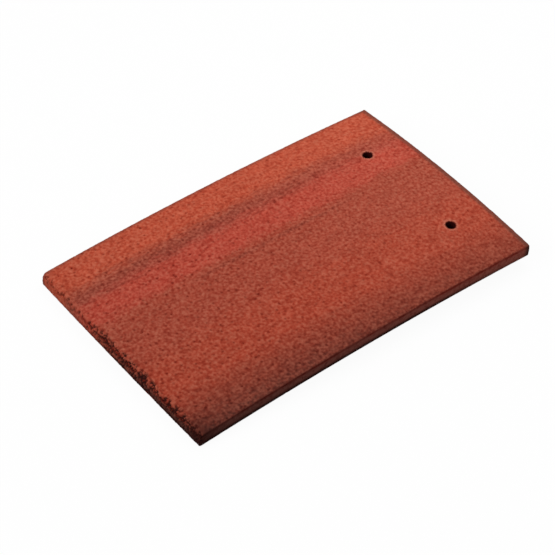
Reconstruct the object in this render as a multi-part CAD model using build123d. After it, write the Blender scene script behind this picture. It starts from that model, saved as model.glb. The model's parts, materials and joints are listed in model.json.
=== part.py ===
"""A concrete plain roof tile, built as the one solid piece that it is pressed as.

The tile is a small flat slab, cambered along its length and across its width. Its weather face is on
top. The tail, which shows on the roof, is the low X end and bows slightly outward in plan. The head is
the high X end: it has two nail holes through it, and two nibs under it that hook over a roofing batten.

All sizes are in millimetres. The slab is first drawn square to its own chords, with X from tail to
head, Y across and the crown of the weather face at Z 0. It is then laid as it rests on a level floor,
on its two nibs and the two corners of its tail, centred over the origin.
"""

import math
import os

from build123d import *

# Slab
SIDE_LENGTH = 265.0
WIDTH = 165.0
THICKNESS = 10.0
LENGTH_CAMBER = 4.0
WIDTH_CAMBER = 4.0
TAIL_BOW = 2.5

# Rounding of the slab's edges
TAIL_NOSE_RADIUS = 4.0
TOP_EDGE_RADIUS = 1.2
UNDER_EDGE_RADIUS = 1.5

# Nail holes
NAIL_HOLE_RADIUS = 3.0
NAIL_HOLE_SPACING = 83.0
NAIL_HOLE_FROM_HEAD = 32.5
NAIL_HOLE_MOUTH_RADIUS = 0.8

# Hanging nibs
NIB_SPACING = 92.0
NIB_FROM_HEAD = 3.0
NIB_LENGTH = 14.0
NIB_WIDTH = 28.0
NIB_DROP = 11.0
NIB_DRAFT_DEG = 12.0
NIB_CORNER_RADIUS = 2.0
NIB_FOOT_RADIUS = 1.5
NIB_ROOT_RADIUS = 2.0

# How far the raw sheet runs past the finished tile on each side
TRIM = 20.0

# Places worked out from the sizes above
HEAD_X = SIDE_LENGTH / 2
TAIL_X = -SIDE_LENGTH / 2
BATTEN_FACE_X = HEAD_X - NIB_FROM_HEAD - NIB_LENGTH
NAIL_HOLE_X = HEAD_X - NAIL_HOLE_FROM_HEAD


def camber_radius(chord, rise):
    """Radius of the arc that rises by this much over this chord."""
    return (chord**2 / 4 + rise**2) / (2 * rise)


LENGTH_RADIUS = camber_radius(SIDE_LENGTH, LENGTH_CAMBER)
WIDTH_RADIUS = camber_radius(WIDTH, WIDTH_CAMBER)


def underside_z(x, y):
    """Height of the underside at a point of the plan."""
    strip_radius = LENGTH_RADIUS - THICKNESS
    strip_drop = strip_radius - math.sqrt(strip_radius**2 - x**2)
    turning_radius = WIDTH_RADIUS - THICKNESS - strip_drop
    return math.sqrt(turning_radius**2 - y**2) - WIDTH_RADIUS


NIB_ROOT_Z = underside_z(BATTEN_FACE_X, NIB_SPACING / 2)
NIB_FOOT_Z = NIB_ROOT_Z - NIB_DROP


def cambered_sheet():
    """A sheet curved both ways, larger than the tile: a long arched strip turned about an axis far below."""
    reach = math.degrees(math.asin((HEAD_X + TRIM) / LENGTH_RADIUS))
    centre = (0, -LENGTH_RADIUS)
    outer = CenterArc(centre, LENGTH_RADIUS, 90 - reach, 2 * reach)
    inner = CenterArc(centre, LENGTH_RADIUS - THICKNESS, 90 - reach, 2 * reach)
    ends = [Line(outer @ 0, inner @ 0), Line(outer @ 1, inner @ 1)]
    section = Plane.XZ * make_face([outer, inner, *ends])
    swing = math.degrees(math.asin((WIDTH / 2 + TRIM) / WIDTH_RADIUS))
    turning_axis = Axis((0, 0, -WIDTH_RADIUS), (1, 0, 0))
    return revolve(section.rotate(turning_axis, -swing), turning_axis, 2 * swing)


def plan_prism():
    """The tile's plan outline, square at the head and bowed at the tail, taken right through the sheet."""
    side_y = WIDTH / 2
    square = Polyline((TAIL_X, -side_y), (HEAD_X, -side_y), (HEAD_X, side_y), (TAIL_X, side_y))
    bow = ThreePointArc((TAIL_X, side_y), (TAIL_X - TAIL_BOW, 0), (TAIL_X, -side_y))
    return extrude(make_face([square, bow]), amount=SIDE_LENGTH, both=True)


def slab():
    """The cambered sheet cut to the plan outline, with its edges rounded."""
    body = cambered_sheet() & plan_prism()
    weather_edges = body.faces().sort_by(Axis.Z)[-1].edges()
    body = fillet(weather_edges.sort_by(Axis.X)[0], TAIL_NOSE_RADIUS)
    weather_edges = body.faces().sort_by(Axis.Z)[-1].edges()
    body = fillet(weather_edges.sort_by(Axis.X)[1:], TOP_EDGE_RADIUS)
    largest = body.faces().sort_by(SortBy.AREA)[-2:]
    under_edges = largest.sort_by(Axis.Z)[0].edges()
    return fillet(under_edges, UNDER_EDGE_RADIUS)


def nib(side):
    """One hanging nib, drafted on every side but its batten face, which stands square to the tile."""
    embedded = THICKNESS / 2
    grown = embedded * math.tan(math.radians(NIB_DRAFT_DEG))
    place = (BATTEN_FACE_X, side * NIB_SPACING / 2, NIB_ROOT_Z + embedded)
    outline = Plane(place, x_dir=(1, 0, 0), z_dir=(0, 0, -1)) * Rectangle(
        2 * (NIB_LENGTH + grown), NIB_WIDTH + 2 * grown
    )
    pair = extrude(outline, NIB_DROP + embedded, taper=NIB_DRAFT_DEG)
    block = split(pair, bisect_by=Plane(place, z_dir=(1, 0, 0)), keep=Keep.TOP)
    corners = block.edges().filter_by(lambda edge: abs(edge.tangent_at(0).Z) > 0.5)
    block = fillet(corners, NIB_CORNER_RADIUS)
    return fillet(block.faces().sort_by(Axis.Z)[0].edges(), NIB_FOOT_RADIUS)


def tile():
    """The slab with its nibs blended on and its nail holes punched through."""
    body = slab()
    for side in (-1, 1):
        block = nib(side)
        joined = body + block
        body = fillet(new_edges(body, block, combined=joined), NIB_ROOT_RADIUS)
    for side in (-1, 1):
        place = Pos(NAIL_HOLE_X, side * NAIL_HOLE_SPACING / 2, 0)
        punch = place * Cylinder(NAIL_HOLE_RADIUS, SIDE_LENGTH)
        punched = body - punch
        mouths = new_edges(body, punch, combined=punched).filter_by(GeomType.LINE, reverse=True)
        body = fillet(mouths, NAIL_HOLE_MOUTH_RADIUS)
    return body


def resting_place(body):
    """Where the tile lies: turned about Y until nibs and tail touch a level floor, and centred on the origin."""
    nib_x, nib_z = BATTEN_FACE_X + NIB_FOOT_RADIUS, NIB_FOOT_Z + NIB_FOOT_RADIUS
    tail_x = TAIL_X + UNDER_EDGE_RADIUS
    tail_z = underside_z(tail_x, WIDTH / 2 - UNDER_EDGE_RADIUS) + UNDER_EDGE_RADIUS
    run = math.hypot(nib_x - tail_x, nib_z - tail_z)
    fall = math.atan2(tail_z - nib_z, nib_x - tail_x)
    rest_angle = fall + math.asin((NIB_FOOT_RADIUS - UNDER_EDGE_RADIUS) / run)
    turn = Rot(0, -math.degrees(rest_angle), 0)
    box = (turn * body).bounding_box()
    return Pos(-box.center().X, -box.center().Y, -box.min.Z) * turn


if __name__ == "__main__":
    os.makedirs("parts", exist_ok=True)
    finished = tile()
    export_step(resting_place(finished) * finished, "parts/tile.step")
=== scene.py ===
"""A pressed concrete plain tile in its sand-faced, brindled finish, on a pale studio floor."""

import json
import math

import bmesh
import bpy
import numpy as np
from mathutils import Matrix, Vector, noise


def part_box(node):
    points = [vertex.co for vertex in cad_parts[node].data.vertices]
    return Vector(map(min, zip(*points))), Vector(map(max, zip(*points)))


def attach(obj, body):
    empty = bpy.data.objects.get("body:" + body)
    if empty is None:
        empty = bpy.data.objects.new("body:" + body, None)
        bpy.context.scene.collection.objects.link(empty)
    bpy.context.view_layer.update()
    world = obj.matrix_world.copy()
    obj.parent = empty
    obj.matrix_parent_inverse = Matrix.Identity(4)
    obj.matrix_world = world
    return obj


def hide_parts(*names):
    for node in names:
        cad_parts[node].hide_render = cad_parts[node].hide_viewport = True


bl_info = {
    "name": "Concrete Plain Tile",
    "version": (1, 0, 0),
    "blender": (4, 5, 0),
    "location": "View3D > Sidebar > Plain Tile",
    "description": "Gives a pressed concrete roof tile its sand face, torn tail and brindled pigment",
    "category": "Object",
}

MM = 0.001

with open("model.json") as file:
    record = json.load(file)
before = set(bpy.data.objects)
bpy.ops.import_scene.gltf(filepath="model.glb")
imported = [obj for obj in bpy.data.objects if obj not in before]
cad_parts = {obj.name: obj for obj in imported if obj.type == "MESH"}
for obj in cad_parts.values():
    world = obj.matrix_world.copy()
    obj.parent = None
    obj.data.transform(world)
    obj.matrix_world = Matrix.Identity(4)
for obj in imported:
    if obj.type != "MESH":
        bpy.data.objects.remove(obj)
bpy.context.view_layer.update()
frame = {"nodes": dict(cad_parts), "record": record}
CAD_TILE = frame["nodes"]["tile"]
TILE_LOW, TILE_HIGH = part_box("tile")
HALF_LENGTH = (TILE_HIGH.x - TILE_LOW.x) / 2
HALF_WIDTH = (TILE_HIGH.y - TILE_LOW.y) / 2

# Places on the tile, from the frame: the tail is the low X edge, the head the high X edge.
TAIL_X = TILE_LOW.x
HEAD_X = TILE_HIGH.x
NAIL_HOLES = [mount for mount in frame["record"]["mounts"] if mount["kind"] == "bore"]

# Where the skin has finer faces: how far in from the tail and above the floor, and how far in and down
# from the arris, which is the edge of the weather face.
TAIL_ZONE = 9 * MM
TAIL_FOOT = 1.2 * MM
ARRIS_ZONE = 2.6 * MM
ARRIS_DROP = 4.2 * MM

# Values that the skin's points carry for the material. Depth is in millimetres below the weather face.
MASKS = (
    "pit",
    "torn",
    "cleft",
    "groove",
    "depth",
    "rim",
    "side",
    "upright_shade",
    "under",
    "nose_shade_band",
    "lump",
    "bore",
    "ring",
)


def linear(hex_colour):
    """A colour given as an sRGB hex value, in the linear values that shaders work in."""
    channels = [int(hex_colour[i : i + 2], 16) / 255 for i in (0, 2, 4)]
    return [c / 12.92 if c <= 0.04045 else ((c + 0.055) / 1.055) ** 2.4 for c in channels]


class PressedTileSettings(bpy.types.PropertyGroup):
    """Sizes of the skin of the pressed tile."""

    face_size: bpy.props.FloatProperty(
        name="Face size",
        description="Width of the small even faces that carry the grain",
        default=1.0 * MM,
        unit="LENGTH",
        precision=5,
    )
    underside_share: bpy.props.FloatProperty(
        name="Underside share",
        description="Share of the faces kept on the smooth underside",
        default=0.16,
        min=0.05,
        max=1.0,
        subtype="FACTOR",
    )
    grain_width: bpy.props.FloatProperty(
        name="Grain width",
        description="Distance from one clump of sand to the next",
        default=3.0 * MM,
        unit="LENGTH",
        precision=5,
    )
    grain_height: bpy.props.FloatProperty(
        name="Grain height",
        description="How far the clumps of sand stand up and sink in",
        default=0.12 * MM,
        unit="LENGTH",
        precision=5,
    )
    pit_spacing: bpy.props.FloatProperty(
        name="Pit spacing",
        description="Distance from one air pit to the next",
        default=4.6 * MM,
        unit="LENGTH",
        precision=5,
    )
    pit_width: bpy.props.FloatProperty(
        name="Pit width",
        description="Width of the larger air pits",
        default=2.2 * MM,
        unit="LENGTH",
        precision=5,
    )
    pit_depth: bpy.props.FloatProperty(
        name="Pit depth",
        description="Depth of the larger air pits",
        default=0.5 * MM,
        unit="LENGTH",
        precision=5,
    )
    tear_reach: bpy.props.FloatProperty(
        name="Tear reach",
        description="How far the torn roughness of the tail runs back over the weather face",
        default=4.5 * MM,
        unit="LENGTH",
        precision=5,
    )
    tear_depth: bpy.props.FloatProperty(
        name="Tear depth",
        description="Depth of the clefts where the tail was torn from the next tile",
        default=0.9 * MM,
        unit="LENGTH",
        precision=5,
    )
    tear_width: bpy.props.FloatProperty(
        name="Tear width",
        description="Distance from one granule of the torn tail to the next",
        default=1.7 * MM,
        unit="LENGTH",
        precision=5,
    )
    groove_depth: bpy.props.FloatProperty(
        name="Groove depth",
        description="Depth of the broken groove that the mould leaves along the edges, under the arris",
        default=0.3 * MM,
        unit="LENGTH",
        precision=5,
    )


class BrindleSettings(bpy.types.PropertyGroup):
    """Colours of the pigmented concrete. Smoke and cleft also serve as painted shade."""

    far: bpy.props.FloatVectorProperty(
        name="Far strip",
        description="Orange red of the strip along the far edge",
        subtype="COLOR",
        size=3,
        default=linear("b44e36"),
    )
    bright: bpy.props.FloatVectorProperty(
        name="Bright strip",
        description="Red of the strip that the left nail hole stands in",
        subtype="COLOR",
        size=3,
        default=linear("ad4535"),
    )
    middle: bpy.props.FloatVectorProperty(
        name="Middle strip",
        description="Brown red of the strip along the middle",
        subtype="COLOR",
        size=3,
        default=linear("9d4432"),
    )
    near: bpy.props.FloatVectorProperty(
        name="Near strip",
        description="Deep red of the strip on the near side of the middle",
        subtype="COLOR",
        size=3,
        default=linear("a2422e"),
    )
    # Smoke is also painted as shade on the rounded top edge of the far side and head.
    smoke: bpy.props.FloatVectorProperty(
        name="Smoke",
        description="Brown of the dark pigment streak",
        subtype="COLOR",
        size=3,
        default=linear("5e3a30"),
    )
    soot: bpy.props.FloatVectorProperty(
        name="Soot",
        description="Near black of the pigment along the near edge",
        subtype="COLOR",
        size=3,
        default=linear("3a2a25"),
    )
    sand: bpy.props.FloatVectorProperty(
        name="Sand",
        description="Pale tone of the sand clumps that stand up",
        subtype="COLOR",
        size=3,
        default=linear("dc9c80"),
    )
    mould_face: bpy.props.FloatVectorProperty(
        name="Mould face",
        description="Duller brown of the sides, which the mould presses smooth",
        subtype="COLOR",
        size=3,
        default=linear("9f564a"),
    )
    torn: bpy.props.FloatVectorProperty(
        name="Torn concrete",
        description="Paler brown of the concrete inside, where the tail was torn",
        subtype="COLOR",
        size=3,
        default=linear("a4503c"),
    )
    # Cleft is used as painted shade in the clefts of the tail, along the bottom of the edges and down the
    # corners, and as the dark pigment at the near corner of the tail.
    cleft: bpy.props.FloatVectorProperty(
        name="Cleft",
        description="Black brown between the granules of the tail and along the bottom of the edges",
        subtype="COLOR",
        size=3,
        default=linear("2a0a07"),
    )


class StudioSettings(bpy.types.PropertyGroup):
    """Where the camera and the lamps stand."""

    azimuth: bpy.props.FloatProperty(
        name="Camera azimuth",
        description="Turn of the camera round the tile from facing the long near edge",
        default=math.radians(-41.60),
        subtype="ANGLE",
    )
    elevation: bpy.props.FloatProperty(
        name="Camera elevation",
        description="Height of the camera above the horizon",
        default=math.radians(44.66),
        subtype="ANGLE",
    )
    roll: bpy.props.FloatProperty(
        name="Camera roll",
        description="Turn of the camera about its own line of sight",
        default=math.radians(4.45),
        subtype="ANGLE",
    )
    distance: bpy.props.FloatProperty(
        name="Camera distance",
        description="Distance from the camera to the point that it looks at",
        default=1.2236,
        unit="LENGTH",
    )
    target: bpy.props.FloatVectorProperty(
        name="Camera target",
        description="The point that the camera looks at",
        default=(-9.51 * MM, -2.37 * MM, 5.4 * MM),
        subtype="XYZ",
        unit="LENGTH",
    )
    lens: bpy.props.FloatProperty(
        name="Lens",
        description="Focal length in millimetres on a sensor 36 mm wide",
        default=125.29,
        unit="CAMERA",
    )
    key_azimuth: bpy.props.FloatProperty(
        name="Key azimuth",
        description="Direction of the key lamp round the tile, from +X towards +Y",
        default=math.radians(172),
        subtype="ANGLE",
    )
    key_elevation: bpy.props.FloatProperty(
        name="Key elevation",
        description="Height of the key lamp above the horizon",
        default=math.radians(36),
        subtype="ANGLE",
    )
    key_distance: bpy.props.FloatProperty(
        name="Key distance",
        description="Distance from the key lamp to the middle of the tile",
        default=3.0,
        unit="LENGTH",
    )
    key_size: bpy.props.FloatProperty(
        name="Key size",
        description="Width of the key lamp",
        default=1.5,
        unit="LENGTH",
    )
    key_power: bpy.props.FloatProperty(
        name="Key power",
        description="Power of the key lamp",
        default=53.0,
        subtype="POWER",
    )
    overhead_place: bpy.props.FloatVectorProperty(
        name="Overhead place",
        description="Where the small softbox hangs, above the head of the tile",
        default=(0.28, 0.12, 0.75),
        subtype="XYZ",
        unit="LENGTH",
    )
    overhead_size: bpy.props.FloatProperty(
        name="Overhead size",
        description="Width of the small softbox",
        default=0.5,
        unit="LENGTH",
    )
    overhead_power: bpy.props.FloatProperty(
        name="Overhead power",
        description="Power of the small softbox",
        default=2.6,
        subtype="POWER",
    )
    sky: bpy.props.FloatProperty(
        name="Sky strength",
        description="Strength of the even light from all round",
        default=0.42,
        min=0.0,
        max=1.0,
        subtype="FACTOR",
    )


def evaluated_mesh(piece):
    """The piece's mesh with its modifiers applied, as a mesh of its own."""
    bpy.context.view_layer.update()
    graph = bpy.context.evaluated_depsgraph_get()
    return bpy.data.meshes.new_from_object(piece.evaluated_get(graph))


def apply_modifiers(piece):
    """Bakes the piece's modifiers into its mesh."""
    done = evaluated_mesh(piece)
    piece.modifiers.clear()
    old, piece.data = piece.data, done
    bpy.data.meshes.remove(old)


def vertex_array(mesh):
    """The mesh's points as an array with one row for each."""
    points = np.empty(len(mesh.vertices) * 3)
    mesh.vertices.foreach_get("co", points)
    return points.reshape(-1, 3)


def normal_array(mesh):
    """The mesh's vertex normals as an array with one row for each."""
    normals = np.empty(len(mesh.vertices) * 3)
    mesh.vertex_normals.foreach_get("vector", normals)
    return normals.reshape(-1, 3)


def smoothstep(low, high, value):
    """Nought below low, one above high and smooth between, on arrays."""
    t = np.clip((value - low) / (high - low), 0, 1)
    return t * t * (3 - 2 * t)


def noise_at(points, width, seed=0.0):
    """Smooth noise from about -1 to 1 at each point, whose lumps are about this wide."""
    shift = Vector((seed, seed * 0.37, -seed * 0.71))
    return np.array([noise.noise(Vector(p) / width + shift) for p in points])


def cells_at(points, width, seed=0.0):
    """How far each point is from its random cell's middle and border, and that cell's own random number."""
    shift = Vector((seed, seed * 0.53, -seed * 0.29))
    reach = np.empty(len(points))
    border = np.empty(len(points))
    chance = np.empty(len(points))
    for i, p in enumerate(points):
        distances, middles = noise.voronoi(Vector(p) / width + shift)
        reach[i] = distances[0] * width
        border[i] = (distances[1] - distances[0]) * width
        chance[i] = noise.cell(middles[0] * 57.0)
    return reach, border, chance


class CamberedFace:
    """A smooth cambered surface through the CAD points of one broad face of the slab."""

    def __init__(self, mesh, upward):
        points = vertex_array(mesh)
        normals = normal_array(mesh) * (1 if upward else -1)
        flat = normals[:, 2] > 0.995
        level = np.median(points[flat, 2])
        near = flat & (np.abs(points[:, 2] - level) < 9 * MM)
        self.weights = np.zeros(9)
        chosen = points[near]
        for _ in range(4):
            terms = self.terms(chosen)
            self.weights = np.linalg.lstsq(terms, chosen[:, 2], rcond=None)[0]
            off = np.abs(terms @ self.weights - chosen[:, 2])
            chosen = chosen[off < max(np.percentile(off, 90), 0.003 * MM)]

    @staticmethod
    def terms(points):
        """The even and odd powers of X and Y that a cambered and tilted slab needs."""
        x = points[:, 0] / HALF_LENGTH
        y = points[:, 1] / HALF_WIDTH
        one = np.ones(len(points))
        return np.stack([one, x, y, x * x, y * y, x**3, x * y * y, x**4, x * x * y * y], axis=1)

    def height(self, points):
        """The height of the surface over each point."""
        return self.terms(points) @ self.weights


def is_tail(point):
    """Whether a point is on the torn end of the tile."""
    return point.x < TAIL_X + TAIL_ZONE and point.z > TAIL_FOOT


def is_arris(point, top):
    """Whether a point is on the rounded edge of the weather face, along the long sides or the head."""
    rim = min(HALF_WIDTH - abs(point.y), HEAD_X - point.x) < ARRIS_ZONE
    return rim and top.height(np.array([point]))[0] - point.z < ARRIS_DROP


def fine_skin(cad_piece, top, settings):
    """A copy of the CAD tile with small even faces on its surface, finer at the tail and the arris."""
    piece = bpy.data.objects.new("pressed_tile", cad_piece.data.copy())
    bpy.context.scene.collection.objects.link(piece)
    even = piece.modifiers.new("even_faces", "REMESH")
    even.mode = "VOXEL"
    even.voxel_size = settings.face_size
    apply_modifiers(piece)

    finer = bmesh.new()
    finer.from_mesh(piece.data)
    detailed = {v for v in finer.verts if is_tail(v.co) or is_arris(v.co, top)}
    edges = [e for e in finer.edges if all(v in detailed for v in e.verts)]
    bmesh.ops.subdivide_edges(finer, edges=edges, cuts=1, use_grid_fill=True)
    finer.to_mesh(piece.data)
    finer.free()

    seat = piece.modifiers.new("seat_on_cad", "SHRINKWRAP")
    seat.target = cad_piece
    seat.wrap_method = "NEAREST_SURFACEPOINT"
    apply_modifiers(piece)
    return piece


def tail_line(y):
    """X of the bowed front of the tail at each Y, from the CAD tile's own points."""
    points = vertex_array(CAD_TILE.data)
    front = points[points[:, 0] < TAIL_X + 12 * MM]
    steps = np.linspace(-HALF_WIDTH, HALF_WIDTH, 12)
    middles = (steps[1:] + steps[:-1]) / 2
    lows = [front[(front[:, 1] >= a) & (front[:, 1] <= b), 0].min() for a, b in zip(steps, steps[1:])]
    return np.polyval(np.polyfit(middles, lows, 2), y)


def nail_hole_masks(points):
    """Where a point is down inside a nail hole, and where it is on the frayed ring round a hole's mouth."""
    bore = np.zeros(len(points))
    ring = np.zeros(len(points))
    ragged = 0.55 * MM * noise_at(points, 1.7 * MM, 53.0)
    for mount in NAIL_HOLES:
        middle, axis = np.array(mount["pos_m"]), np.array(mount["axis"])
        radius = mount["dims"]["r_mm"] * MM
        offset = points - middle
        off_axis = np.linalg.norm(offset - np.outer(offset @ axis, axis), axis=1)
        off_axis += ragged
        bore = np.maximum(bore, 1 - smoothstep(radius + 0.3 * MM, radius + 0.85 * MM, off_axis))
        edge = np.abs(off_axis - (radius + 1.3 * MM))
        ring = np.maximum(ring, 1 - smoothstep(0.2 * MM, 1.2 * MM, edge))
    return bore, ring


def relief(points, normals, depth, settings):
    """How far each point of the skin moves along its normal, and the masks that the material reads."""
    weather = smoothstep(0.30, 0.75, normals[:, 2])
    under = smoothstep(0.30, 0.75, -normals[:, 2])
    sides = 1 - weather - under

    clump = noise_at(points, settings.grain_width * 0.62, 3.0)
    fine = noise_at(points, settings.grain_width * 0.33, 11.0)
    grain = settings.grain_height * (clump + 0.6 * fine)

    reach, _, chance = cells_at(points, settings.pit_spacing, 5.0)
    pit_radius = settings.pit_width / 2 * np.clip(0.35 + 0.9 * chance, 0.5, 1.2)
    pit = 1 - smoothstep(0.35, 1.0, reach / pit_radius)
    pit *= smoothstep(0.12, 0.4, chance) * (weather + 0.4 * sides)

    # The tail was torn off the next tile while wet, which drags its granules and clefts down the face.
    back = points[:, 0] - tail_line(points[:, 1])
    ragged = settings.tear_reach * (1 + 0.55 * noise_at(points, 6 * MM, 19.0))
    torn = (1 - smoothstep(0.55, 1.15, back / ragged)) * (1 - under)
    drawn = points * np.array([0.6, 1.0, 0.6])
    granule_reach, granule_border, _ = cells_at(drawn, settings.tear_width, 23.0)
    dome = 1 - np.clip(granule_reach / (0.7 * settings.tear_width), 0, 1) ** 2
    fewer = 0.42 * smoothstep(2 * MM, 40 * MM, points[:, 1]) - 0.12
    fewer = fewer + 0.4 * smoothstep(4.5 * MM, 6.5 * MM, depth)
    fewer = fewer - 0.2 * smoothstep(0.3 * MM, 1.5 * MM, depth)
    open_cleft = smoothstep(-0.15, 0.15, noise_at(points, 2.6 * MM, 31.0) - fewer)
    cleft = (1 - smoothstep(0.08, 0.36, granule_border / settings.tear_width)) * open_cleft * torn
    # The material paints shade in a patchy band just below the top of the rounded nose; this band does not
    # move the skin.
    nose_shade_band = torn * np.exp(-(((depth - 1.9 * MM) / (1.0 * MM)) ** 2))
    nose_shade_band *= smoothstep(-0.55, 0.05, noise_at(points, 4 * MM, 37.0))
    tear = torn * settings.tear_depth * (0.42 * dome - 0.30) - settings.tear_depth * cleft

    # The side of the mould leaves a broken groove under the rolled top edge.
    broken = 0.65 + 0.35 * smoothstep(-0.25, 0.2, noise_at(points, 6 * MM, 41.0))
    groove = np.exp(-(((depth - 1.2 * MM) / (1.0 * MM)) ** 2)) * (1 - under)
    groove *= smoothstep(0.1 * MM, 0.5 * MM, depth)
    groove *= broken

    # The head leans as the tile rests, so its top edge stands back from the farthest point of its face.
    top_of_head = HEAD_X - 1.6 * MM
    inset = np.minimum(HALF_WIDTH - points[:, 1], top_of_head - points[:, 0])
    # The rim is where the material paints shade on the rounded top edge of the far side and head.
    rim = (1 - smoothstep(1.2 * MM, 3.8 * MM, inset)) * (1 - under)
    from_corner = np.hypot(HALF_LENGTH - np.abs(points[:, 0]), HALF_WIDTH - np.abs(points[:, 1]))
    # The vertical corners, where the material paints shade.
    upright_shade = (1 - smoothstep(1.5 * MM, 4.0 * MM, from_corner)) * smoothstep(0.5 * MM, 1.5 * MM, depth)
    bore, ring = nail_hole_masks(points)
    fray = ring * weather * np.clip(noise_at(points, 1.5 * MM, 47.0) - 0.05, -0.5, 0.5)

    push = grain * (weather + 0.55 * sides + 0.12 * under) * (1 - 0.6 * torn)
    push = push - settings.pit_depth * pit * (1 - torn) + tear
    push = push - settings.groove_depth * groove * (1 - torn) + 0.6 * MM * fray
    masks = {
        "pit": np.clip(pit * (1 - torn) * (1 - ring), 0, 1),
        "torn": torn,
        "cleft": np.clip(cleft, 0, 1),
        "groove": np.clip(groove * (1 - torn), 0, 1),
        "depth": depth / MM,
        "rim": rim,
        "side": smoothstep(0.15, 0.6, 1 - normals[:, 2]) * (1 - torn),
        "upright_shade": upright_shade * (1 - under),
        "under": under,
        "nose_shade_band": nose_shade_band,
        "lump": np.clip(0.5 + 0.85 * (clump + 0.6 * fine) * (1 - under), 0, 1),
        "bore": bore * (1 - under),
        "ring": ring * weather,
    }
    return push, masks


def thin_underside(piece, share):
    """Drops most of the faces of the smooth underside, which carries no grain."""
    group = piece.vertex_groups.new(name="underside")
    normals = normal_array(piece.data)
    flat = np.nonzero(normals[:, 2] < -0.93)[0]
    group.add(flat.tolist(), 1.0, "REPLACE")
    thin = piece.modifiers.new("thin_underside", "DECIMATE")
    thin.vertex_group = group.name
    total = len(normals)
    thin.ratio = 1 - (1 - share) * len(flat) / total
    apply_modifiers(piece)


def node(tree, kind, inputs=(), **settings):
    """Adds a shader node, gives it its settings, and sets or links its inputs."""
    made = tree.nodes.new(kind)
    for name, value in settings.items():
        setattr(made, name, value)
    for socket, value in dict(inputs).items():
        if isinstance(value, bpy.types.NodeSocket):
            tree.links.new(value, made.inputs[socket])
        else:
            made.inputs[socket].default_value = value
    return made


def brindle_across(tree, across, finish):
    """The pigment strips side by side across the tile, from the near edge to the far one."""
    share = node(tree, "ShaderNodeMapRange", {0: across, 1: -HALF_WIDTH, 2: HALF_WIDTH}).outputs[0]
    strips = node(tree, "ShaderNodeValToRGB", {0: share})
    places = (
        (-82 * MM, finish.near),
        (-30 * MM, finish.near),
        (-12 * MM, finish.middle),
        (17 * MM, finish.middle),
        (24 * MM, finish.bright),
        (42 * MM, finish.bright),
        (58 * MM, finish.far),
        (82 * MM, finish.far),
    )
    stops = strips.color_ramp.elements
    while len(stops) < len(places):
        stops.new(0.5)
    for stop, (y, colour) in zip(stops, places):
        stop.position = (y + HALF_WIDTH) / (2 * HALF_WIDTH)
        stop.color = (*colour, 1.0)
    return strips.outputs["Color"]


def streaks(tree, place, width, length, seed):
    """Noise drawn out along the tile, as pigment is when the concrete is extruded."""
    scale = (1 / length, 1 / width, 1 / width)
    drawn = node(tree, "ShaderNodeMapping", {0: place, 1: (seed, seed, seed), 3: scale})
    inputs = {"Vector": drawn.outputs[0], "Scale": 1.0, "Detail": 2.0}
    return node(tree, "ShaderNodeTexNoise", inputs).outputs["Fac"]


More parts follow.
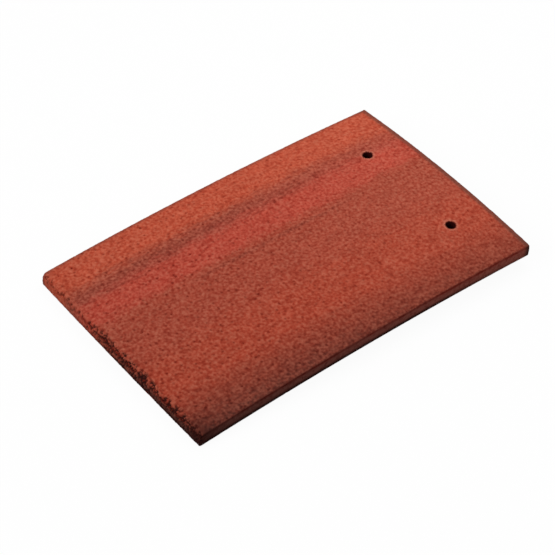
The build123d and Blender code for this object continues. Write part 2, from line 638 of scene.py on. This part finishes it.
def sand_faced_concrete(finish):
    """Through-coloured concrete with a sand face: dry and open, it scatters light and shows no gloss."""
    material = bpy.data.materials.new("sand_faced_concrete")
    material.use_nodes = True
    tree = material.node_tree
    tree.nodes.clear()
    # A map range reads between its inputs 1 and 2, and gives between its inputs 3 and 4. Those two are
    # 0 and 1 where they aren't set.
    smooth = {"interpolation_type": "SMOOTHSTEP"}
    times = {"operation": "MULTIPLY"}
    mask = {
        name: node(tree, "ShaderNodeAttribute", attribute_name=name).outputs["Fac"]
        for name in MASKS
    }
    place = node(tree, "ShaderNodeTexCoord").outputs["Object"]
    axes = node(tree, "ShaderNodeSeparateXYZ", {0: place})
    along, across = axes.outputs[0], axes.outputs[1]

    # The strips wander a few millimetres across as they run from tail to head, and their edges fray.
    drift = streaks(tree, place, 45 * MM, 190 * MM, 3.0)
    inputs = {0: drift, 1: 0.2, 2: 0.8, 3: -2.5 * MM, 4: 2.5 * MM}
    drift = node(tree, "ShaderNodeMapRange", inputs).outputs[0]
    fray = streaks(tree, place, 2.4 * MM, 9 * MM, 7.0)
    inputs = {0: fray, 1: 0.2, 2: 0.8, 3: -4 * MM, 4: 4 * MM}
    fray = node(tree, "ShaderNodeMapRange", inputs).outputs[0]
    wander = node(tree, "ShaderNodeMath", {0: across, 1: drift}).outputs[0]
    frayed = node(tree, "ShaderNodeMath", {0: wander, 1: fray}).outputs[0]

    # Clumps of sand about 3 mm apart, and single grains 1.2 mm wide.
    inputs = {"Vector": place, "Scale": 1 / (1.85 * MM), "Detail": 0.6}
    clumps = node(tree, "ShaderNodeTexNoise", inputs).outputs["Fac"]
    grains = node(tree, "ShaderNodeTexVoronoi", {"Vector": place, "Scale": 1 / (1.2 * MM)})
    grain_tone = node(tree, "ShaderNodeSeparateColor", {0: grains.outputs["Color"]}).outputs[0]
    grain_tone = node(tree, "ShaderNodeMapRange", {0: grain_tone, 3: 0.96, 4: 1.04}).outputs[0]
    patches = streaks(tree, place, 6 * MM, 13 * MM, 13.0)
    patches = node(tree, "ShaderNodeMapRange", {0: patches, 1: 0.3, 2: 0.7, 3: 0.94, 4: 1.06}).outputs[0]
    inputs = {0: along, 1: TAIL_X, 2: HEAD_X, 3: 0.9, 4: 1.1}
    paler_head = node(tree, "ShaderNodeMapRange", inputs).outputs[0]
    pale_clumps = node(tree, "ShaderNodeMapRange", {0: clumps, 1: 0.48, 2: 0.76, 4: 0.12}).outputs[0]
    dark_gaps = node(tree, "ShaderNodeMapRange", {0: clumps, 1: 0.52, 2: 0.24, 4: 0.44}).outputs[0]
    raised = node(tree, "ShaderNodeMapRange", {0: mask["lump"], 1: 0.5, 2: 0.95, 4: 0.06}).outputs[0]
    # The skin's hollows are darkened with painted shade as well as darker paste.
    sunken = node(tree, "ShaderNodeMapRange", {0: mask["lump"], 1: 0.5, 2: 0.08, 4: 0.4}).outputs[0]
    inputs = {0: along, 1: -20 * MM, 2: 90 * MM, 4: 0.022}
    sandy_head = node(tree, "ShaderNodeMapRange", inputs).outputs[0]

    # Pinholes about a millimetre wide stand 4 to 5 mm apart, and are shallower towards the head.
    inputs = {"Vector": place, "Scale": 1 / (4.6 * MM)}
    holes = node(tree, "ShaderNodeTexVoronoi", inputs, voronoi_dimensions="2D")
    chance = node(tree, "ShaderNodeSeparateColor", {0: holes.outputs["Color"]}).outputs[0]
    chance = node(tree, "ShaderNodeMapRange", {0: chance, 1: 0.2, 2: 0.9, 4: 0.65}).outputs[0]
    inputs = {0: holes.outputs["Distance"], 1: 0.29, 2: 0.06}
    pinholes = node(tree, "ShaderNodeMapRange", inputs, **smooth).outputs[0]
    pinholes = node(tree, "ShaderNodeMath", {0: pinholes, 1: chance}, **times).outputs[0]
    inputs = {0: along, 1: -70 * MM, 2: 80 * MM, 3: 1.0, 4: 0.5}
    shallower = node(tree, "ShaderNodeMapRange", inputs).outputs[0]
    pinholes = node(tree, "ShaderNodeMath", {0: pinholes, 1: shallower}, **times).outputs[0]
    pit = node(tree, "ShaderNodeMath", {0: mask["pit"], 1: shallower}, **times).outputs[0]
    flat = node(tree, "ShaderNodeMath", {0: 1.0, 1: mask["side"]}, operation="SUBTRACT").outputs[0]
    pinholes = node(tree, "ShaderNodeMath", {0: pinholes, 1: flat}, **times).outputs[0]

    # The streak of dark pigment along the far side fades towards the head, and gathers between the clumps.
    smoke = node(tree, "ShaderNodeMath", {0: frayed, 1: 49 * MM}, operation="SUBTRACT").outputs[0]
    smoke = node(tree, "ShaderNodeMath", {0: smoke}, operation="ABSOLUTE").outputs[0]
    inputs = {0: smoke, 1: 13 * MM, 2: 1 * MM, 4: 0.42}
    smoke = node(tree, "ShaderNodeMapRange", inputs, **smooth).outputs[0]
    inputs = {0: along, 1: -20 * MM, 2: HEAD_X, 3: 1.0, 4: 0.6}
    smoke_fade = node(tree, "ShaderNodeMapRange", inputs).outputs[0]
    smoke = node(tree, "ShaderNodeMath", {0: smoke, 1: smoke_fade}, **times).outputs[0]
    speckle = node(tree, "ShaderNodeMapRange", {0: clumps, 1: 0.25, 2: 0.75, 3: 1.25, 4: 0.8}).outputs[0]
    smoke = node(tree, "ShaderNodeMath", {0: smoke, 1: speckle}, **times).outputs[0]
    scratch = node(tree, "ShaderNodeMath", {0: wander, 1: 14 * MM}, operation="SUBTRACT").outputs[0]
    scratch = node(tree, "ShaderNodeMath", {0: scratch}, operation="ABSOLUTE").outputs[0]
    inputs = {0: scratch, 1: 2.6 * MM, 2: 0.4 * MM, 4: 0.26}
    scratch = node(tree, "ShaderNodeMapRange", inputs, **smooth).outputs[0]
    gaps = node(tree, "ShaderNodeMapRange", {0: clumps, 1: 0.4, 2: 0.6, 3: 1.0, 4: 0.25}).outputs[0]
    scratch = node(tree, "ShaderNodeMath", {0: scratch, 1: gaps}, **times).outputs[0]
    scratch_run = node(tree, "ShaderNodeMath", {0: along}, operation="ABSOLUTE").outputs[0]
    inputs = {0: scratch_run, 1: 75 * MM, 2: 40 * MM}
    scratch_run = node(tree, "ShaderNodeMapRange", inputs, **smooth).outputs[0]
    scratch = node(tree, "ShaderNodeMath", {0: scratch, 1: scratch_run}, **times).outputs[0]

    # Soot-dark pigment lies along the near edge, widest and darkest at the tail.
    above = node(tree, "ShaderNodeMath", {0: 1.0, 1: mask["under"]}, operation="SUBTRACT").outputs[0]
    soot = node(tree, "ShaderNodeMapRange", {0: frayed, 1: -50 * MM, 2: -86 * MM, 4: 0.83}).outputs[0]
    inputs = {0: along, 1: TAIL_X, 2: HEAD_X, 3: 1.0, 4: 0.55}
    soot_fade = node(tree, "ShaderNodeMapRange", inputs).outputs[0]
    soot = node(tree, "ShaderNodeMath", {0: soot, 1: soot_fade}, **times).outputs[0]
    soot = node(tree, "ShaderNodeMath", {0: soot, 1: speckle}, use_clamp=True, **times).outputs[0]
    inputs = {0: along, 1: TAIL_X + 26 * MM, 2: TAIL_X}
    corner = node(tree, "ShaderNodeMapRange", inputs, **smooth).outputs[0]
    inputs = {0: across, 1: -62 * MM, 2: -82 * MM, 4: 0.7}
    corner_y = node(tree, "ShaderNodeMapRange", inputs, **smooth).outputs[0]
    corner = node(tree, "ShaderNodeMath", {0: corner, 1: corner_y}, **times).outputs[0]
    corner = node(tree, "ShaderNodeMath", {0: corner, 1: above}, **times).outputs[0]

    # Round the edges with painted shade: a dark rim on the far side and head, shade in the groove under the
    # arris, and a dark bottom along the lower edges and down the corners.
    inputs = {0: along, 1: HEAD_X - 8 * MM, 2: HEAD_X - 5 * MM, 3: 0.42, 4: 0.72}
    rim_shade_share = node(tree, "ShaderNodeMapRange", inputs).outputs[0]
    rim = node(tree, "ShaderNodeMath", {0: mask["rim"], 1: rim_shade_share}, **times).outputs[0]
    mould_face = node(tree, "ShaderNodeMath", {0: mask["side"], 1: 0.85}, **times).outputs[0]
    # Painted shade along the bottom of the edges, where the tile meets the floor; stronger towards the tail
    # and the near side.
    inputs = {0: mask["depth"], 1: 4.7, 2: 7.8, 4: 0.95}
    foot_shade = node(tree, "ShaderNodeMapRange", inputs, **smooth).outputs[0]
    foot_along = node(tree, "ShaderNodeMapRange", {0: along, 1: HEAD_X, 2: 50 * MM, 3: 0.3}).outputs[0]
    foot_shade = node(tree, "ShaderNodeMath", {0: foot_shade, 1: foot_along}, **times).outputs[0]
    foot_across = node(tree, "ShaderNodeMapRange", {0: across, 1: 60 * MM, 2: -10 * MM, 3: 0.15}).outputs[0]
    foot_shade = node(tree, "ShaderNodeMath", {0: foot_shade, 1: foot_across}, **times).outputs[0]
    foot_shade = node(tree, "ShaderNodeMath", {0: foot_shade, 1: above}, **times).outputs[0]
    # Painted shade down the vertical corners.
    upright_shade = node(tree, "ShaderNodeMath", {0: mask["upright_shade"], 1: 0.7}, **times).outputs[0]
    inputs = {0: along, 1: 0.9 * HEAD_X, 2: TAIL_X, 4: 0.75}
    side_soot = node(tree, "ShaderNodeMapRange", inputs).outputs[0]
    side_soot = node(tree, "ShaderNodeMath", {0: side_soot, 1: mask["side"]}, **times).outputs[0]
    near_edge = node(tree, "ShaderNodeMapRange", {0: across, 1: 10 * MM, 2: -78 * MM}, **smooth).outputs[0]
    side_soot = node(tree, "ShaderNodeMath", {0: side_soot, 1: near_edge}, **times).outputs[0]
    side_soot = node(tree, "ShaderNodeMath", {0: side_soot, 1: above}, **times).outputs[0]

    torn = node(tree, "ShaderNodeMath", {0: mask["torn"], 1: 0.35}, **times).outputs[0]
    inputs = {0: across, 1: 24 * MM, 2: -40 * MM, 4: 0.8}
    torn_soot = node(tree, "ShaderNodeMapRange", inputs, **smooth).outputs[0]
    torn_soot = node(tree, "ShaderNodeMath", {0: torn_soot, 1: mask["torn"]}, **times).outputs[0]
    below = node(tree, "ShaderNodeMapRange", {0: mask["depth"], 1: 0.3, 2: 4.5, 3: 0.1, 4: 1.0}).outputs[0]
    torn_soot = node(tree, "ShaderNodeMath", {0: torn_soot, 1: below}, **times).outputs[0]
    # Painted shade below the top of the nose, strongest towards the near side.
    nose_shade_band = node(tree, "ShaderNodeMapRange", {0: across, 1: 75 * MM, 2: 0.0, 3: 0.35}).outputs[0]
    nose_shade_band = node(tree, "ShaderNodeMath", {0: nose_shade_band, 1: mask["nose_shade_band"]}, **times).outputs[0]
    # Painted shade in the clefts between the torn granules, over their own darker concrete; stronger
    # towards the near side.
    cleft = node(tree, "ShaderNodeMapRange", {0: across, 1: 60 * MM, 2: 0.0, 3: 0.55, 4: 1.0}).outputs[0]
    cleft = node(tree, "ShaderNodeMath", {0: cleft, 1: mask["cleft"]}, **times).outputs[0]
    ring = node(tree, "ShaderNodeMath", {0: mask["ring"], 1: 0.25}, **times).outputs[0]

    # The coats of colour, from the paste up. A MULTIPLY coat deepens what lies under it.
    deepened = (0.55, 0.14, 0.06)
    pit_tint_and_shade = (0.42, 0.14, 0.08)
    groove_shade = (0.66, 0.14, 0.07)
    nose_shade = (0.38, 0.12, 0.06)
    bore_shade = (0.10, 0.02, 0.015)
    coats = (
        (1.0, patches, "MULTIPLY"),
        (1.0, paler_head, "MULTIPLY"),
        (smoke, finish.smoke, "MIX"),
        (scratch, finish.soot, "MIX"),
        (pale_clumps, finish.sand, "MIX"),
        (raised, finish.sand, "MIX"),
        (sandy_head, finish.sand, "MIX"),
        (soot, finish.soot, "MIX"),
        (torn, finish.torn, "MIX"),
        (torn_soot, finish.soot, "MIX"),
        (mould_face, finish.mould_face, "MIX"),
        (side_soot, finish.soot, "MIX"),
        (1.0, grain_tone, "MULTIPLY"),
        (dark_gaps, deepened, "MULTIPLY"),
        # Painted shade in the hollows of the skin's grain, with darker paste.
        (sunken, deepened, "MULTIPLY"),
        # Painted shade in the pinholes and pits, over their own darker tint.
        (pinholes, pit_tint_and_shade, "MULTIPLY"),
        (pit, pit_tint_and_shade, "MULTIPLY"),
        (corner, finish.cleft, "MIX"),
        # Painted shade on the rounded top edge of the far side and head.
        (rim, finish.smoke, "MIX"),
        # Painted shade in the groove under the arris.
        (mask["groove"], groove_shade, "MULTIPLY"),
        (nose_shade_band, nose_shade, "MULTIPLY"),
        (foot_shade, finish.cleft, "MIX"),
        (upright_shade, finish.cleft, "MIX"),
        (ring, finish.sand, "MIX"),
        (cleft, finish.cleft, "MIX"),
        # Painted shade down inside the nail holes.
        (mask["bore"], bore_shade, "MULTIPLY"),
    )
    colour = brindle_across(tree, frayed, finish)
    for share, coat, blend in coats:
        top = coat if isinstance(coat, bpy.types.NodeSocket) else (*coat, 1.0)
        inputs = {0: share, 6: colour, 7: top}
        mixed = node(tree, "ShaderNodeMix", inputs, data_type="RGBA", blend_type=blend)
        colour = mixed.outputs[2]

    # Relief too fine for the mesh: the grains stand proud of the paste, and the pinholes sink into it.
    paste = node(tree, "ShaderNodeTexNoise", {"Vector": place, "Scale": 1 / (0.8 * MM), "Detail": 3.0})
    inputs = {"Height": paste.outputs["Fac"], "Distance": 0.25 * MM, "Strength": 0.5}
    paste_bump = node(tree, "ShaderNodeBump", inputs)
    inputs = {
        "Height": grains.outputs["Distance"],
        "Distance": 0.25 * MM,
        "Strength": 0.45,
        "Normal": paste_bump.outputs[0],
    }
    grain_bump = node(tree, "ShaderNodeBump", inputs, invert=True)
    inputs = {"Height": pinholes, "Distance": 0.4 * MM, "Strength": 0.4, "Normal": grain_bump.outputs[0]}
    pinhole_bump = node(tree, "ShaderNodeBump", inputs, invert=True)
    inputs = {
        "Base Color": colour,
        "Roughness": 0.92,
        "IOR": 1.5,
        "Specular IOR Level": 0.1,
        "Normal": pinhole_bump.outputs[0],
    }
    shader = node(tree, "ShaderNodeBsdfPrincipled", inputs)
    node(tree, "ShaderNodeOutputMaterial", {"Surface": shader.outputs[0]})
    return material


def matt_studio_paper():
    """White backdrop paper. The camera sees it as bright as the background, and it bounces little light."""
    material = bpy.data.materials.new("matt_studio_paper")
    material.use_nodes = True
    tree = material.node_tree
    tree.nodes.clear()
    rays = node(tree, "ShaderNodeLightPath")
    paper = node(tree, "ShaderNodeBsdfDiffuse", {"Color": (0.35, 0.35, 0.35, 1.0)})
    seen_paper = node(tree, "ShaderNodeBsdfDiffuse", {"Color": (0.85, 0.85, 0.85, 1.0)})
    glow = node(tree, "ShaderNodeEmission", {"Color": (1.0, 1.0, 1.0, 1.0), "Strength": 1.0})
    seen = node(tree, "ShaderNodeMixShader", {0: 0.95, 1: seen_paper.outputs[0], 2: glow.outputs[0]})
    inputs = {0: rays.outputs["Is Camera Ray"], 1: paper.outputs[0], 2: seen.outputs[0]}
    both = node(tree, "ShaderNodeMixShader", inputs)
    node(tree, "ShaderNodeOutputMaterial", {"Surface": both.outputs[0]})
    return material


class OBJECT_OT_pressed_tile(bpy.types.Operator):
    """Make the pressed concrete tile with its sand face, air pits and torn tail"""

    bl_idname = "object.pressed_tile"
    bl_label = "Pressed Tile"

    def execute(self, context):
        settings = context.scene.pressed_tile
        top = CamberedFace(CAD_TILE.data, True)
        piece = fine_skin(CAD_TILE, top, settings)
        bottom = CamberedFace(CAD_TILE.data, False)
        points = vertex_array(piece.data)
        normals = normal_array(piece.data)
        for face, sign in ((top, 1), (bottom, -1)):
            lift = face.height(points) - points[:, 2]
            on_face = (np.abs(lift) < 0.1 * MM) & (sign * normals[:, 2] > 0.98)
            points[on_face, 2] += lift[on_face]
        depth = np.clip(top.height(points) - points[:, 2], 0, None)
        push, masks = relief(points, normals, depth, settings)
        points += normals * push[:, None]
        points[:, 2] = np.maximum(points[:, 2], TILE_LOW.z)
        piece.data.vertices.foreach_set("co", points.ravel())
        for name, values in masks.items():
            layer = piece.data.attributes.new(name, "FLOAT", "POINT")
            layer.data.foreach_set("value", values.astype(np.float32))
        thin_underside(piece, settings.underside_share)
        piece.data.shade_smooth()
        piece.data.materials.clear()
        piece.data.materials.append(sand_faced_concrete(context.scene.brindle))
        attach(piece, "root")
        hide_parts("tile")
        return {"FINISHED"}


class OBJECT_OT_tile_studio(bpy.types.Operator):
    """Lay the pale floor and set up the soft light, the white background and the camera"""

    bl_idname = "object.tile_studio"
    bl_label = "Tile Studio"

    def execute(self, context):
        settings = context.scene.tile_studio
        scene = context.scene
        self.floor()
        turn, rise = settings.key_azimuth, settings.key_elevation
        way = Vector((math.cos(turn) * math.cos(rise), math.sin(turn) * math.cos(rise), math.sin(rise)))
        key_place = way * settings.key_distance
        overhead_place = Vector(settings.overhead_place)
        self.lamp("key_softbox", key_place, settings.key_size, settings.key_power)
        self.lamp("overhead_softbox", overhead_place, settings.overhead_size, settings.overhead_power)
        self.world(scene, settings)
        self.camera(scene, settings)
        scene.view_settings.view_transform = "Standard"
        return {"FINISHED"}

    def floor(self):
        half = 3.0
        mesh = bpy.data.meshes.new("studio_floor")
        corners = [(-half, -half, 0), (half, -half, 0), (half, half, 0), (-half, half, 0)]
        mesh.from_pydata(corners, [], [(0, 1, 2, 3)])
        floor = bpy.data.objects.new("studio_floor", mesh)
        mesh.materials.append(matt_studio_paper())
        bpy.context.scene.collection.objects.link(floor)

    def lamp(self, name, place, size, power):
        lamp = bpy.data.lights.new(name, "AREA")
        lamp.shape = "SQUARE"
        lamp.size = size
        lamp.energy = power
        holder = bpy.data.objects.new(name, lamp)
        holder.location = place
        holder.rotation_euler = (-place).to_track_quat("-Z", "Y").to_euler()
        holder.visible_camera = False
        bpy.context.scene.collection.objects.link(holder)

    def world(self, scene, settings):
        world = bpy.data.worlds.new("white_background")
        world.use_nodes = True
        tree = world.node_tree
        tree.nodes.clear()
        rays = node(tree, "ShaderNodeLightPath")
        sky = node(tree, "ShaderNodeBackground", {"Color": (1, 1, 1, 1), "Strength": settings.sky})
        white = node(tree, "ShaderNodeBackground", {"Color": (1, 1, 1, 1), "Strength": 1.0})
        inputs = {0: rays.outputs["Is Camera Ray"], 1: sky.outputs[0], 2: white.outputs[0]}
        seen = node(tree, "ShaderNodeMixShader", inputs)
        node(tree, "ShaderNodeOutputWorld", {"Surface": seen.outputs[0]})
        scene.world = world

    def camera(self, scene, settings):
        camera = bpy.data.cameras.new("portrait_camera")
        camera.sensor_width = 36.0
        camera.lens = settings.lens
        holder = bpy.data.objects.new("portrait_camera", camera)
        turn, rise = settings.azimuth, settings.elevation
        back = Vector((math.sin(turn) * math.cos(rise), -math.cos(turn) * math.cos(rise), math.sin(rise)))
        right = Vector((math.cos(turn), math.sin(turn), 0))
        up = back.cross(right)
        level = Matrix((right, up, back)).transposed()
        holder.rotation_euler = (level @ Matrix.Rotation(settings.roll, 3, "Z")).to_euler()
        holder.location = Vector(settings.target) + back * settings.distance
        scene.collection.objects.link(holder)
        scene.camera = holder


class VIEW3D_PT_plain_tile(bpy.types.Panel):
    """The tile's pieces and finish"""

    bl_label = "Plain Tile"
    bl_idname = "VIEW3D_PT_plain_tile"
    bl_space_type = "VIEW_3D"
    bl_region_type = "UI"
    bl_category = "Plain Tile"

    def draw(self, context):
        for title, holder, operator in (
            ("Skin", context.scene.pressed_tile, "object.pressed_tile"),
            ("Brindle", context.scene.brindle, None),
            ("Studio", context.scene.tile_studio, "object.tile_studio"),
        ):
            box = self.layout.box()
            box.label(text=title)
            for name in holder.__annotations__:
                box.prop(holder, name)
            if operator:
                box.operator(operator)


CLASSES = (
    PressedTileSettings,
    BrindleSettings,
    StudioSettings,
    OBJECT_OT_pressed_tile,
    OBJECT_OT_tile_studio,
    VIEW3D_PT_plain_tile,
)


def register():
    for cls in CLASSES:
        bpy.utils.register_class(cls)
    bpy.types.Scene.pressed_tile = bpy.props.PointerProperty(type=PressedTileSettings)
    bpy.types.Scene.brindle = bpy.props.PointerProperty(type=BrindleSettings)
    bpy.types.Scene.tile_studio = bpy.props.PointerProperty(type=StudioSettings)


def unregister():
    del bpy.types.Scene.tile_studio
    del bpy.types.Scene.brindle
    del bpy.types.Scene.pressed_tile
    for cls in reversed(CLASSES):
        bpy.utils.unregister_class(cls)


def main():
    register()
    bpy.ops.object.pressed_tile()
    bpy.ops.object.tile_studio()


if __name__ == "__main__":
    main()
